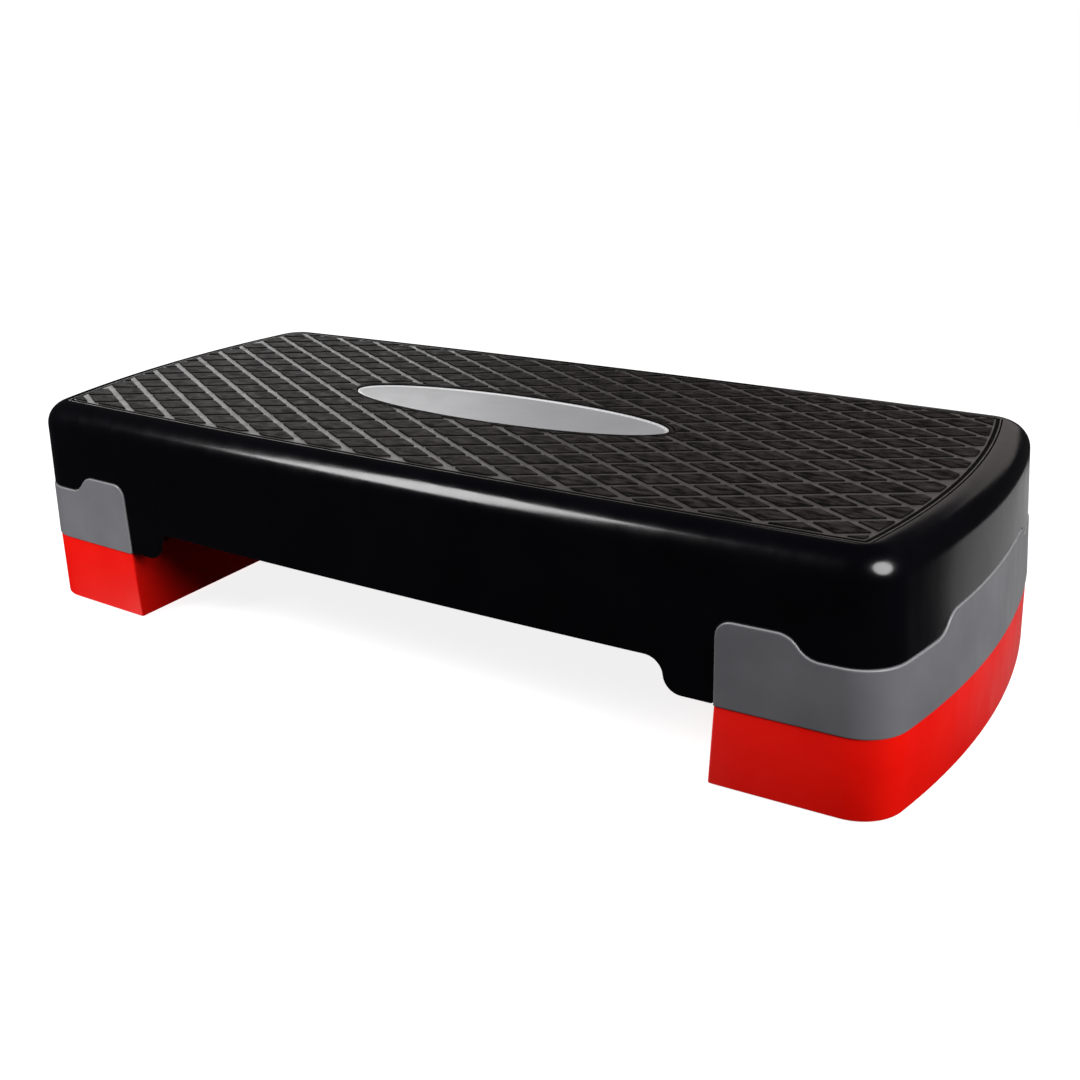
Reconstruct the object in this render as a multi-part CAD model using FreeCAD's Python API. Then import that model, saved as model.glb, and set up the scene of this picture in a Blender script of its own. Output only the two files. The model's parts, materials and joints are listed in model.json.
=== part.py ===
"""Aerobic step platform, in millimetres.

A ribbed deck, open below, carries an inset tread mat with an oval badge. A collar wraps each end of
the deck, and a hollow riser on rubber feet plugs in under each end.
+Z is up, +X is to the right and the front faces -Y. The origin is on the floor under the middle.
"""
import FreeCAD, Part
import math
import os
from FreeCAD import Vector

# Plan of the deck at the seat, the level where it stands on the risers
deck_length = 677.8
deck_width = 292.4
end_arc_radius = 572.0
side_bow_radius = 8050.0
corner_radius = 28.0

# Heights
riser_height = 49.0
deck_height = 99.6

# Lean of the walls: the deck narrows upwards and the risers widen towards the floor
deck_end_lean = 6.6
deck_side_lean = 1.0
riser_end_flare = 1.1
riser_side_flare = 1.2
riser_inner_lean = 2.5

# Deck shell
deck_wall = 3.2
deck_plate = 3.5
top_edge_radius = 16.0
arch_rise = 20.3
arch_wave_run = 22.4
lobe_length = 41.7
lobe_lift = 0.8
rib_thickness = 2.4
rib_pitch = 56.0
rib_setback = 10.0

# Tread mat and badge
rim_width = 17.4
mat_gap = 0.3
mat_thickness = 4.0
mat_corner_radius = 2.0
mat_lip = 1.2
channel_width = 2.0
channel_depth = 0.8
mat_border = 4.5
pad_height = 0.9
groove_angle = 30.0
groove_pitch = 19.97
groove_width = 4.5
net_shift_x = 2.5
net_shift_y = -3.7
badge_length = 252.0
badge_width = 63.6
badge_gap = 0.8
badge_border = 3.6
badge_drop = 1.4
badge_rim_width = 1.8
badge_rim_height = 0.6

# End collars
collar_thickness = 2.6
collar_gap = 0.25
collar_lift = 0.3
collar_dip = 38.8
collar_tab_rise = 12.2
collar_end_rise = 10.4
collar_tab_length = 34.0
collar_tab_corner = 9.5
collar_wave_run = 24.0
collar_end_tab = 126.0

# Collar screws, driven from inside the skirt into bosses of the collar
screw_inset = 18.0
screw_height = 27.0
screw_spacing = 80.0
screw_pad_radius = 6.5
screw_pad_height = 2.0
screw_boss_radius = 3.2
screw_boss_gap = 0.3
screw_radius = 1.5
screw_hole_gap = 0.06
screw_length = 5.0
screw_head_radius = 4.6
screw_head_height = 2.4
screw_slot_width = 1.2
screw_slot_depth = 1.2

# Risers
riser_length = 110.3
riser_wall = 3.0
riser_plate = 3.0
riser_rib_lift = 6.0
plug_setback = 55.5
plug_side_setback = 90.2
plug_height = 18.0
plug_wall = 2.5
plug_clearance = 0.4
plug_chamfer = 3.0

# Rubber feet
foot_radius = 8.0
foot_thickness = 3.0
foot_stand = 1.0
foot_stem_radius = 3.5
foot_stem_length = 9.0
foot_stem_gap = 0.06
foot_boss_radius = 8.6
foot_boss_height = 16.0
foot_room = 1.5
deck_foot_setback = 34.0
inner_foot_inset = 26.5
inner_foot_setback = 28.0
outer_foot_inset = 27.5
outer_foot_setback = 41.0

# Places that follow from the sizes above
deck_top = riser_height + deck_height
riser_inner_x = deck_length / 2 - riser_length
plug_x = deck_length / 2 - plug_setback
plug_spacing = deck_width - 2 * plug_side_setback
plug_y = plug_spacing / 2
collar_base = riser_height + collar_lift
collar_dip_level = riser_height + collar_dip
collar_tab_level = collar_dip_level + collar_tab_rise
collar_end_level = collar_dip_level + collar_end_rise
arch_level = riser_height + lobe_lift + arch_rise
arch_foot_x = deck_length / 2 - riser_length - lobe_length + arch_wave_run
mat_floor = deck_top - mat_thickness
pad_level = deck_top + pad_height
plate_underside = mat_floor - deck_plate
mid_rib_level = arch_level + rib_setback
recess_inset = collar_thickness + collar_gap
inner_inset = recess_inset + deck_wall
screw_level = riser_height + screw_height
pad_depth = inner_inset + screw_pad_height
boss_depth = pad_depth - screw_boss_gap
reach = deck_length + deck_width
overshoot = riser_height / 2
level_tolerance = 0.001


def segment(start, end):
    return Part.LineSegment(start, end).toShape()


def arc(start, middle, end):
    return Part.Arc(start, middle, end).toShape()


def bisector(centre, radius, first, second):
    """Point on a circle halfway between the directions to two points."""
    direction = (first - centre).normalize() + (second - centre).normalize()
    return centre + direction.normalize() * radius


def outline(half_length, half_width, corner, inset, level):
    """Plan line with bowed sides, arched ends and round corners, set in from its full size."""
    side_radius = side_bow_radius - inset
    end_radius = end_arc_radius - inset
    side_centre = Vector(0, half_width - side_bow_radius, level)
    end_centre = Vector(half_length - end_arc_radius, 0, level)
    along = end_centre - side_centre
    apart = along.Length
    along.normalize()
    across = Vector(along.y, -along.x, 0)
    near = (side_radius - corner) ** 2
    far = (end_radius - corner) ** 2
    share = (near - far + apart ** 2) / (2 * apart)
    centre = side_centre + along * share + across * math.sqrt(near - share ** 2)
    on_side = side_centre + (centre - side_centre) * (side_radius / (side_radius - corner))
    on_end = end_centre + (centre - end_centre) * (end_radius / (end_radius - corner))
    on_corner = bisector(centre, corner, on_side, on_end)
    apex = Vector(half_length - inset, 0, level)
    crest = Vector(0, half_width - inset, level)

    def at(point, x_sign, y_sign):
        return Vector(point.x * x_sign, point.y * y_sign, level)

    edges = []
    for x_sign, y_sign in ((1, 1), (-1, -1)):
        edges += [
            arc(at(on_end, x_sign, -y_sign), at(apex, x_sign, 1), at(on_end, x_sign, y_sign)),
            arc(at(on_end, x_sign, y_sign), at(on_corner, x_sign, y_sign), at(on_side, x_sign, y_sign)),
            arc(at(on_side, x_sign, y_sign), at(crest, 1, y_sign), at(on_side, -x_sign, y_sign)),
            arc(at(on_side, -x_sign, y_sign), at(on_corner, -x_sign, y_sign), at(on_end, -x_sign, y_sign)),
        ]
    return Part.Wire(edges)


def deck_half_length(level):
    return deck_length / 2 - deck_end_lean * (level - riser_height) / deck_height


def deck_half_width(level):
    return deck_width / 2 - deck_side_lean * (level - riser_height) / deck_height


def riser_half_length(level):
    return deck_length / 2 + riser_end_flare * (riser_height - level) / riser_height


def riser_half_width(level):
    return deck_width / 2 + riser_side_flare * (riser_height - level) / riser_height


def form(half_length, half_width, inset, bottom, top):
    """Solid between the plan lines of two levels, set in by a distance."""
    lines = []
    for level in (bottom, top):
        lines.append(outline(half_length(level), half_width(level), corner_radius - inset, inset, level))
    return Part.makeLoft(lines, True, True)


def deck_form(inset, bottom, top):
    return form(deck_half_length, deck_half_width, inset, bottom, top)


def riser_form(inset, bottom, top):
    """Outer form of both risers, joined through the middle."""
    return form(riser_half_length, riser_half_width, inset, bottom, top)


def top_slab(inset, corner, bottom, top):
    """Upright slab with the plan of the deck's top, set in by a distance."""
    line = outline(
        deck_half_length(deck_top), deck_half_width(deck_top), corner, inset, bottom
    )
    return Part.Face(line).extrude(Vector(0, 0, top - bottom))


def oval_slab(grow, bottom, top):
    """Upright slab with the badge's oval plan, grown by a distance."""
    oval = Part.Ellipse(Vector(0, 0, bottom), badge_length / 2 + grow, badge_width / 2 + grow)
    return Part.Face(Part.Wire([oval.toShape()])).extrude(Vector(0, 0, top - bottom))


def block(x_low, x_high, y_low, y_high, z_low, z_high):
    corner = Vector(x_low, y_low, z_low)
    return Part.makeBox(x_high - x_low, y_high - y_low, z_high - z_low, corner)


def post(x, y, radius, bottom, top):
    return Part.makeCylinder(radius, top - bottom, Vector(x, y, bottom))


def mirrored(shape):
    """The same shape for the left end."""
    return shape.mirror(Vector(0, 0, 0), Vector(1, 0, 0))


def both_ends(shapes):
    return shapes + [mirrored(shape) for shape in shapes]


def edges_at(solid, level):
    """Edges of a solid's flat top."""
    return [edge for edge in solid.Edges if edge.BoundBox.ZMin > level - level_tolerance]


def round_top(solid, level, radius):
    """Rounds the edge around the flat top of a solid."""
    return solid.makeFillet(radius, edges_at(solid, level))


def wave(high_x, high_z, low_x, low_z, grow):
    """Two tangent arcs that step down from one level to another, grown upwards by a distance."""
    run = low_x - high_x
    drop = high_z - low_z
    radius = (run ** 2 + drop ** 2) / (4 * drop)
    crest_centre = Vector(high_x, 0, high_z - radius)
    trough_centre = Vector(low_x, 0, low_z + radius)
    start = Vector(high_x, 0, high_z + grow)
    end = Vector(low_x, 0, low_z + grow)
    turn = crest_centre + (trough_centre - crest_centre) * ((radius + grow) / (2 * radius))
    return [
        arc(start, bisector(crest_centre, radius + grow, start, turn), turn),
        arc(turn, bisector(trough_centre, radius - grow, turn, end), end),
    ]


def upright_prism(edges):
    """Solid through the whole width of the deck, from an outline in the XZ plane."""
    face = Part.Face(Part.Wire(edges))
    face.translate(Vector(0, -reach / 2, 0))
    return face.extrude(Vector(0, reach, 0))


def arch_prism():
    """Space between the lobes of the skirt, through the whole width."""
    bottom = riser_height - overshoot
    lobe_level = riser_height + lobe_lift
    crest_x = arch_foot_x - arch_wave_run
    right = wave(crest_x, arch_level, arch_foot_x, lobe_level, 0)
    left = [mirrored(edge) for edge in reversed(right)]
    corners = [
        Vector(arch_foot_x, 0, lobe_level),
        Vector(riser_inner_x, 0, lobe_level),
        Vector(riser_inner_x, 0, bottom),
        Vector(-riser_inner_x, 0, bottom),
        Vector(-riser_inner_x, 0, lobe_level),
        Vector(-arch_foot_x, 0, lobe_level),
    ]
    round_the_lobes = [segment(a, b) for a, b in zip(corners, corners[1:])]
    crest = segment(Vector(-crest_x, 0, arch_level), Vector(crest_x, 0, arch_level))
    return upright_prism(right + round_the_lobes + left + [crest])


def collar_zone(grow, bottom):
    """Space under the collar's wavy edge at the right end, grown by a distance."""
    inner_x = riser_inner_x - grow
    tab_level = collar_tab_level + grow
    end_level = collar_end_level + grow
    dip_level = collar_dip_level + grow
    corner = collar_tab_corner + grow
    corner_centre = Vector(inner_x + corner, 0, tab_level - corner)
    corner_start = Vector(inner_x, 0, tab_level - corner)
    corner_end = Vector(inner_x + corner, 0, tab_level)
    wave_x = riser_inner_x + collar_tab_length
    wave_end_x = wave_x + collar_wave_run
    side_profile = [
        segment(Vector(inner_x, 0, bottom), corner_start),
        arc(corner_start, bisector(corner_centre, corner, corner_start, corner_end), corner_end),
        segment(corner_end, Vector(wave_x, 0, tab_level)),
        *wave(wave_x, collar_tab_level, wave_end_x, collar_dip_level, grow),
        segment(Vector(wave_end_x, 0, dip_level), Vector(reach, 0, dip_level)),
        segment(Vector(reach, 0, dip_level), Vector(reach, 0, bottom)),
        segment(Vector(reach, 0, bottom), Vector(inner_x, 0, bottom)),
    ]
    tab_y = collar_end_tab / 2
    tab_foot = tab_y + collar_wave_run
    right = wave(tab_y, collar_end_level, tab_foot, collar_dip_level, grow)
    left = [mirrored(edge) for edge in reversed(right)]
    end_profile = [
        segment(Vector(-tab_y, 0, end_level), Vector(tab_y, 0, end_level)),
        *right,
        segment(Vector(tab_foot, 0, dip_level), Vector(tab_foot, 0, bottom)),
        segment(Vector(tab_foot, 0, bottom), Vector(-tab_foot, 0, bottom)),
        segment(Vector(-tab_foot, 0, bottom), Vector(-tab_foot, 0, dip_level)),
        *left,
    ]
    end_face = Part.Face(Part.Wire(end_profile))
    end_face.rotate(Vector(0, 0, 0), Vector(0, 0, 1), 90)
    end_face.translate(Vector(wave_end_x, 0, 0))
    return upright_prism(side_profile).fuse(end_face.extrude(Vector(reach, 0, 0)))


def deck_side_y(x, level):
    """Distance from the middle to the deck's long face."""
    return deck_half_width(level) - side_bow_radius + math.sqrt(side_bow_radius ** 2 - x ** 2)


def deck_end_x(y, level):
    """Distance from the middle to the deck's end face."""
    return deck_half_length(level) - end_arc_radius + math.sqrt(end_arc_radius ** 2 - y ** 2)


def screw_places():
    """Point on the collar's face and inward direction of each screw at the right end."""
    side_x = riser_inner_x + screw_inset
    side_y = deck_side_y(side_x, screw_level)
    end_y = screw_spacing / 2
    end_x = deck_end_x(end_y, screw_level)
    return [
        (Vector(side_x, -side_y, screw_level), Vector(0, 1, 0)),
        (Vector(side_x, side_y, screw_level), Vector(0, -1, 0)),
        (Vector(end_x, -end_y, screw_level), Vector(-1, 0, 0)),
        (Vector(end_x, end_y, screw_level), Vector(-1, 0, 0)),
    ]


def screw_cylinders(radius, start, end):
    """Cylinders on the screws' axes between two depths behind the collar's face."""
    shapes = []
    for place, inward in screw_places():
        shapes.append(Part.makeCylinder(radius, end - start, place + inward * start, inward))
    return shapes


def deck_foot_places():
    y = deck_width / 2 - deck_foot_setback
    return [(plug_x, -y), (plug_x, y)]


def cross_rib_places():
    """Places of the ribs across the deck: one each side of the plugs and an even row between."""
    inner_x = plug_x - rib_pitch / 2
    outer_x = plug_x + rib_pitch / 2
    gaps = round(2 * inner_x / rib_pitch)
    row = [-inner_x + 2 * inner_x * place / gaps for place in range(gaps + 1)]
    return [-outer_x] + row + [outer_x]


def long_rib_places():
    half = rib_pitch / 2
    return [-plug_y - half, -plug_y + half, plug_y - half, plug_y + half]


def deck_ribs():
    """Ribs below the deck's plate: shallow between the lobes, down to the seat over the risers."""
    half = rib_thickness / 2
    bulkhead_x = plug_x - rib_pitch / 2
    ribs = []
    for x in cross_rib_places():
        bottom = mid_rib_level if abs(x) < bulkhead_x - half else riser_height
        ribs.append(block(x - half, x + half, -reach, reach, bottom, deck_top))
    for y in long_rib_places():
        ribs.append(block(-reach, reach, y - half, y + half, mid_rib_level, deck_top))
        end_rib = block(bulkhead_x, reach, y - half, y + half, riser_height, deck_top)
        ribs += both_ends([end_rib])
    foot_rib_end = plug_x + rib_pitch / 2
    for x, y in deck_foot_places():
        foot_rib = block(bulkhead_x, foot_rib_end, y - half, y + half, riser_height, deck_top)
        ribs += both_ends([foot_rib])
    return ribs


def deck_foot_bosses(radius, bottom, top):
    return both_ends([post(x, y, radius, bottom, top) for x, y in deck_foot_places()])


def deck_shell():
    bottom = riser_height - overshoot
    outer = round_top(deck_form(0, riser_height, deck_top), deck_top, top_edge_radius)
    recess = collar_zone(collar_gap, bottom).cut(deck_form(recess_inset, bottom, deck_top))
    backing = collar_zone(collar_gap + deck_wall, bottom)
    backing = backing.cut(deck_form(inner_inset, bottom, deck_top))
    hollow = deck_form(deck_wall, bottom, plate_underside)
    hollow = round_top(hollow, plate_underside, top_edge_radius - deck_wall)
    boss_foot = riser_height + foot_thickness - foot_stand
    pads = both_ends(screw_cylinders(screw_pad_radius, recess_inset, pad_depth))
    bosses = deck_foot_bosses(foot_boss_radius, boss_foot, boss_foot + foot_boss_height)
    hollow = hollow.cut(both_ends([backing]) + deck_ribs() + pads + bosses)
    foot_rooms = deck_foot_bosses(foot_boss_radius, bottom, boss_foot)
    stem_radius = foot_stem_radius + foot_stem_gap
    stem_holes = deck_foot_bosses(stem_radius, bottom, boss_foot + foot_stem_length + foot_stem_gap)
    screw_holes = both_ends(screw_cylinders(screw_boss_radius + screw_boss_gap, 0, pad_depth))
    pocket = top_slab(rim_width, mat_corner_radius + mat_gap, mat_floor, deck_top + overshoot)
    cuts = both_ends([recess]) + [arch_prism(), pocket] + foot_rooms + stem_holes + screw_holes
    return outer.cut([hollow] + cuts)


def end_collar():
    band = deck_form(0, riser_height, deck_top).cut(
        deck_form(collar_thickness, riser_height, deck_top)
    )
    collar = band.common(collar_zone(0, collar_base))
    collar = collar.fuse(screw_cylinders(screw_boss_radius, collar_thickness / 2, boss_depth))
    pilot_start = boss_depth - screw_length - screw_hole_gap
    return collar.cut(screw_cylinders(screw_radius + screw_hole_gap, pilot_start, pad_depth))


def collar_screws():
    screws = []
    shanks = screw_cylinders(screw_radius, pad_depth - screw_length, pad_depth)
    heads = screw_cylinders(screw_head_radius, pad_depth, pad_depth + screw_head_height)
    for shank, head, (place, inward) in zip(shanks, heads, screw_places()):
        across = inward.cross(Vector(0, 0, 1))
        slot = Part.makeBox(screw_slot_width, 2 * screw_head_radius, screw_slot_depth)
        slot.translate(Vector(-screw_slot_width / 2, -screw_head_radius, 0))
        slot.Placement = FreeCAD.Placement(
            place + inward * (pad_depth + screw_head_height - screw_slot_depth),
            FreeCAD.Rotation(Vector(0, 0, 1), across, inward, "ZXY"),
        ).multiply(slot.Placement)
        screws.append(shank.fuse(head).cut(slot))
    return Part.makeCompound(screws)


def tread_pads():
    """Rhombic pads between two families of grooves, over the whole top.

    The net of grooves sits a little off the middle of the deck.
    """
    slope = math.radians(groove_angle)
    pad_width = groove_pitch - groove_width
    column_step = groove_pitch / math.sin(slope) / 2
    row_step = groove_pitch / math.cos(slope) / 2
    half_long = pad_width / math.sin(slope) / 2
    half_short = pad_width / math.cos(slope) / 2
    tips = [
        Vector(half_long, 0, 0),
        Vector(0, half_short, 0),
        Vector(-half_long, 0, 0),
        Vector(0, -half_short, 0),
    ]
    pad = Part.Face(Part.makePolygon(tips + tips[:1])).extrude(Vector(0, 0, pad_height))
    columns = math.ceil(deck_length / 2 / column_step)
    rows = math.ceil(deck_width / 2 / row_step)
    pads = []
    for column in range(-columns, columns + 1):
        for row in range(-rows, rows + 1):
            if (column + row) % 2 == 1:
                x = column * column_step + net_shift_x
                y = row * row_step + net_shift_y
                pads.append(pad.translated(Vector(x, y, deck_top)))
    return pads


def mat_slab(inset, bottom, top):
    """Slab as wide as the mat, set in from the mat's edge by a distance."""
    return top_slab(rim_width + mat_gap + inset, mat_corner_radius, bottom, top)


def tread_mat():
    """Mat with a thin lip and a channel along its edge, raised pads and a ring around the badge."""
    mat = mat_slab(0, mat_floor, pad_level).cut(oval_slab(badge_gap, mat_floor, pad_level))
    zone = mat_slab(mat_border, deck_top, pad_level)
    border = mat_slab(-mat_gap, deck_top, pad_level).cut(zone)
    channel = mat_slab(mat_lip, deck_top - channel_depth, deck_top)
    channel = channel.cut(mat_slab(mat_lip + channel_width, deck_top - channel_depth, deck_top))
    zone = zone.cut(oval_slab(badge_gap + badge_border, deck_top, pad_level))
    return mat.cut(border).cut(channel).cut(zone.cut(tread_pads()))


def centre_badge():
    top = pad_level - badge_drop
    plate = oval_slab(0, mat_floor, top + badge_rim_height)
    return plate.cut(oval_slab(-badge_rim_width, top, top + badge_rim_height))


def riser_zone(inset, bottom, top):
    """Space beyond the right riser's leaning inner face, set in by a distance."""
    lean = riser_inner_lean / riser_height

    def face_x(level):
        return riser_inner_x + inset - lean * (riser_height - level)

    corners = [
        Vector(face_x(bottom), 0, bottom),
        Vector(face_x(top), 0, top),
        Vector(reach, 0, top),
        Vector(reach, 0, bottom),
    ]
    return upright_prism([segment(a, b) for a, b in zip(corners, corners[1:] + corners[:1])])


def riser_foot_places():
    """Names and places of the rubber feet under the right riser."""
    inner_x = riser_inner_x + inner_foot_inset
    inner_y = deck_width / 2 - inner_foot_setback
    outer_x = deck_length / 2 - outer_foot_inset
    outer_y = deck_width / 2 - outer_foot_setback
    return {
        "inner_front": (inner_x, -inner_y),
        "inner_back": (inner_x, inner_y),
        "outer_front": (outer_x, -outer_y),
        "outer_back": (outer_x, outer_y),
    }


def plug(side_y):
    """Hollow plug that stands on the riser's plate and fits between the deck's ribs."""
    half = rib_pitch / 2 - rib_thickness / 2 - plug_clearance
    top = riser_height + plug_height
    shape = block(plug_x - half, plug_x + half, side_y - half, side_y + half, riser_height, top)
    return shape.makeChamfer(plug_chamfer, edges_at(shape, top))


def plug_hollow(side_y):
    half = rib_pitch / 2 - rib_thickness / 2 - plug_clearance - plug_wall
    top = riser_height + plug_height - plug_wall
    return block(
        plug_x - half, plug_x + half, side_y - half, side_y + half, riser_height - riser_plate, top
    )


def riser_ribs():
    half = rib_thickness / 2
    top = riser_height
    bottom = riser_rib_lift
    ribs = []
    for x in (plug_x - rib_pitch / 2, plug_x + rib_pitch / 2):
        ribs.append(block(x - half, x + half, -reach, reach, bottom, top))
    for y in long_rib_places():
        ribs.append(block(0, reach, y - half, y + half, bottom, top))
    return ribs


def riser_block():
    underside = riser_height - riser_plate
    outer = riser_form(0, foot_stand, riser_height).common(riser_zone(0, 0, riser_height))
    hollow = riser_form(riser_wall, 0, underside).common(riser_zone(riser_wall, 0, underside))
    feet = riser_foot_places().values()
    bosses = [post(x, y, foot_boss_radius, foot_thickness, riser_height) for x, y in feet]
    hollow = hollow.cut(riser_ribs() + bosses)
    stem_radius = foot_stem_radius + foot_stem_gap
    stem_top = foot_thickness + foot_stem_length + foot_stem_gap
    stem_holes = [post(x, y, stem_radius, 0, stem_top) for x, y in feet]
    foot_rooms = [post(x, y, foot_boss_radius, 0, foot_thickness) for x, y in feet]
    deck_foot_rooms = []
    for x, y in deck_foot_places():
        deck_foot_rooms.append(post(x, y, foot_radius + foot_room, underside, riser_height))
    shape = outer.cut([hollow] + stem_holes + foot_rooms + deck_foot_rooms)
    shape = shape.fuse([plug(-plug_y), plug(plug_y)])
    return shape.cut([plug_hollow(-plug_y), plug_hollow(plug_y)])


def rubber_foot(x, y, bottom):
    """Round rubber foot with a stem that is pushed up into its boss."""
    flange = post(x, y, foot_radius, bottom, bottom + foot_thickness)
    stem_top = bottom + foot_thickness + foot_stem_length
    return flange.fuse(post(x, y, foot_stem_radius, bottom, stem_top))


def build():
    collar = end_collar()
    screws = collar_screws()
    riser = riser_block()
    parts = {
        "deck_shell": deck_shell(),
        "tread_mat": tread_mat(),
        "centre_badge": centre_badge(),
        "right_end_collar": collar,
        "left_end_collar": mirrored(collar),
        "right_collar_screws": screws,
        "left_collar_screws": mirrored(screws),
        "right_riser_block": riser,
        "left_riser_block": mirrored(riser),
    }
    for side, (x, y) in zip(("front", "back"), deck_foot_places()):
        foot = rubber_foot(x, y, riser_height - foot_stand)
        parts[f"deck_foot_right_{side}"] = foot
        parts[f"deck_foot_left_{side}"] = mirrored(foot)
    for place, (x, y) in riser_foot_places().items():
        foot = rubber_foot(x, y, 0)
        parts[f"right_riser_foot_{place}"] = foot
        parts[f"left_riser_foot_{place}"] = mirrored(foot)
    return parts


os.makedirs("parts", exist_ok=True)
for node, shape in build().items():
    print(node, len(shape.Solids), "solids", round(shape.Volume / 1000, 1), "cm3", shape.isValid())
    shape.exportStep(f"parts/{node}.step")
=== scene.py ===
"""Looks of an aerobic step platform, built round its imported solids.

Metres, +Z up, +X to the right, the front faces -Y. Thin walls are drawn flat as panels with rounded
edges and are then wrapped round the plan of the deck.
"""
import json
import math
import bmesh
import bpy
import numpy as np
from mathutils import Matrix, Vector

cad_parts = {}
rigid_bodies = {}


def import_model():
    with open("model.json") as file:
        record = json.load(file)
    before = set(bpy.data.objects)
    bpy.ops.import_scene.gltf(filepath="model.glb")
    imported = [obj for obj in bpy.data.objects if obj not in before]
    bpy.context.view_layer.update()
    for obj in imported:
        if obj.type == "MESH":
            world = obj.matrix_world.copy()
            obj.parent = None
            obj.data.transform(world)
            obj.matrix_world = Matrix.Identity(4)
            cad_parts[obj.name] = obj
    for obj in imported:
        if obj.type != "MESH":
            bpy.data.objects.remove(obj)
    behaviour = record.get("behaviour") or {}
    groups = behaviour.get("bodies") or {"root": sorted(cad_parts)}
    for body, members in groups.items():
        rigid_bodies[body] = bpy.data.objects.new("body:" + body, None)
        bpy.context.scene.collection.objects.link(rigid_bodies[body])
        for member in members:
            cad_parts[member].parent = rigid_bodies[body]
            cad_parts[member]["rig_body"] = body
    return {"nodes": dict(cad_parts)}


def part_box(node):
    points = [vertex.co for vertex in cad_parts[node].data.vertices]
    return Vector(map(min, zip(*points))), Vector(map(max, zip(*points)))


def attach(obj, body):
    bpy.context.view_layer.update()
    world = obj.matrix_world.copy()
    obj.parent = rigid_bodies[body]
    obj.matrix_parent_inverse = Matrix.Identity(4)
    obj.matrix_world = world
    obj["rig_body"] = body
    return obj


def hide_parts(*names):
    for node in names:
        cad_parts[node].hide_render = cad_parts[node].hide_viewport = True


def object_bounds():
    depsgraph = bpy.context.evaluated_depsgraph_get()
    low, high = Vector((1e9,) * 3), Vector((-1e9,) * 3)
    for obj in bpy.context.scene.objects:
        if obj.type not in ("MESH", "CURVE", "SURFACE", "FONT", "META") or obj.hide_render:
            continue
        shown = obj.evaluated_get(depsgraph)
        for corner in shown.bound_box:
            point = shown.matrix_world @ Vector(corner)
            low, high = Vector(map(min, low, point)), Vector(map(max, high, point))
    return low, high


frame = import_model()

cad_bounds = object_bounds()
MM = 0.001

# Levels and lengths read from the solids
top_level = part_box("deck_shell")[1].z
pad_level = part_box("tread_mat")[1].z
mat_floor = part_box("tread_mat")[0].z
seat_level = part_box("deck_shell")[0].z
collar_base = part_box("right_end_collar")[0].z
collar_tab_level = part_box("right_end_collar")[1].z
inner_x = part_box("right_end_collar")[0].x
seat_half_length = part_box("right_end_collar")[1].x
floor_half_length = cad_bounds[1].x
riser_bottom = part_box("right_riser_block")[0].z
riser_foot_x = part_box("right_riser_block")[0].x
plug_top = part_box("right_riser_block")[1].z
badge_half_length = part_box("centre_badge")[1].x
badge_half_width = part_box("centre_badge")[1].y
badge_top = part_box("centre_badge")[1].z

# Plan of the deck
seat_half_width = 146.2 * MM
end_arc_radius = 572 * MM
side_bow_radius = 8050 * MM
corner_radius = 28 * MM
deck_end_lean = 6.6 * MM
deck_side_lean = 1.0 * MM
straight_x = 285 * MM
straight_y = 88 * MM

# Deck moulding
wall = 3.2 * MM
top_edge_radius = 16 * MM
rim_width = 17.4 * MM
pocket_corner = 2.6 * MM
arch_level = 70.1 * MM
arch_crest_x = 186.9 * MM
arch_foot_x = 209.3 * MM
lobe_level = 49.8 * MM
plate_thickness = 3.5 * MM
plate_inset = 6 * MM
lobe_corner = 1.5 * MM
rib_thickness = 2.4 * MM
rib_pitch = 56 * MM
rib_overlap = 1 * MM
mid_rib_level = 80.1 * MM
plug_x = 283.4 * MM
plug_y = 56 * MM

# End collars
collar_thickness = 2.6 * MM
collar_gap = 0.3 * MM
collar_dip_level = 87.8 * MM
collar_end_level = 98.2 * MM
collar_tab_corner = 9.5 * MM
collar_wave_x = 262.6 * MM
collar_wave_run = 24 * MM
collar_end_tab = 63 * MM
collar_proud = 0.6 * MM
collar_edge_radius = 1.0 * MM
collar_foot_corner = 1.2 * MM
collar_foot_height = 1 * MM
collar_plain_height = 2 * MM

# Tread mat and badge
mat_gap = 0.3 * MM
mat_corner = 2 * MM
mat_lip = 1.2 * MM
channel_width = 2 * MM
channel_depth = 0.8 * MM
mat_border = 4.5 * MM
groove_slope = math.radians(30)
groove_pitch = 19.97 * MM
groove_width = 4.5 * MM
net_shift = (2.5 * MM, -3.7 * MM)
pad_edge = 0.3 * MM
smallest_pad = 12 * MM * MM
badge_gap = 0.8 * MM
badge_border = 3.6 * MM
badge_rim_width = 1.8 * MM
badge_rim_height = 0.6 * MM
badge_edge = 0.35 * MM
badge_rim_slope = 0.1 * MM
badge_field_inset = 1 * MM

# Risers
riser_side_flare = 1.2 * MM
riser_wall = 3 * MM
riser_plate = 3 * MM
plug_half = 26.4 * MM
plug_chamfer = 3 * MM
plug_corner = 1.5 * MM
plug_sunk = 0.5 * MM
riser_corner = 1.4 * MM
riser_rib_bottom = 6 * MM
riser_inner_edge = 0.6 * MM
riser_top_edge = 0.5 * MM
deck_foot_room = 9.5 * MM

# Rubber feet
foot_thickness = 3 * MM
foot_boss_radius = 8.6 * MM
foot_boss_top_radius = 8.4 * MM
foot_boss_height = 16 * MM
foot_stem_radius = 3.5 * MM
foot_stem_chamfer = 1 * MM
foot_sole_edge = 1 * MM
foot_rim_edge = 0.4 * MM
foot_dish = 0.6 * MM
foot_dish_inner = 0.45
foot_dish_outer = 0.55
foot_sole_steps = 5
foot_rim_steps = 3

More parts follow.
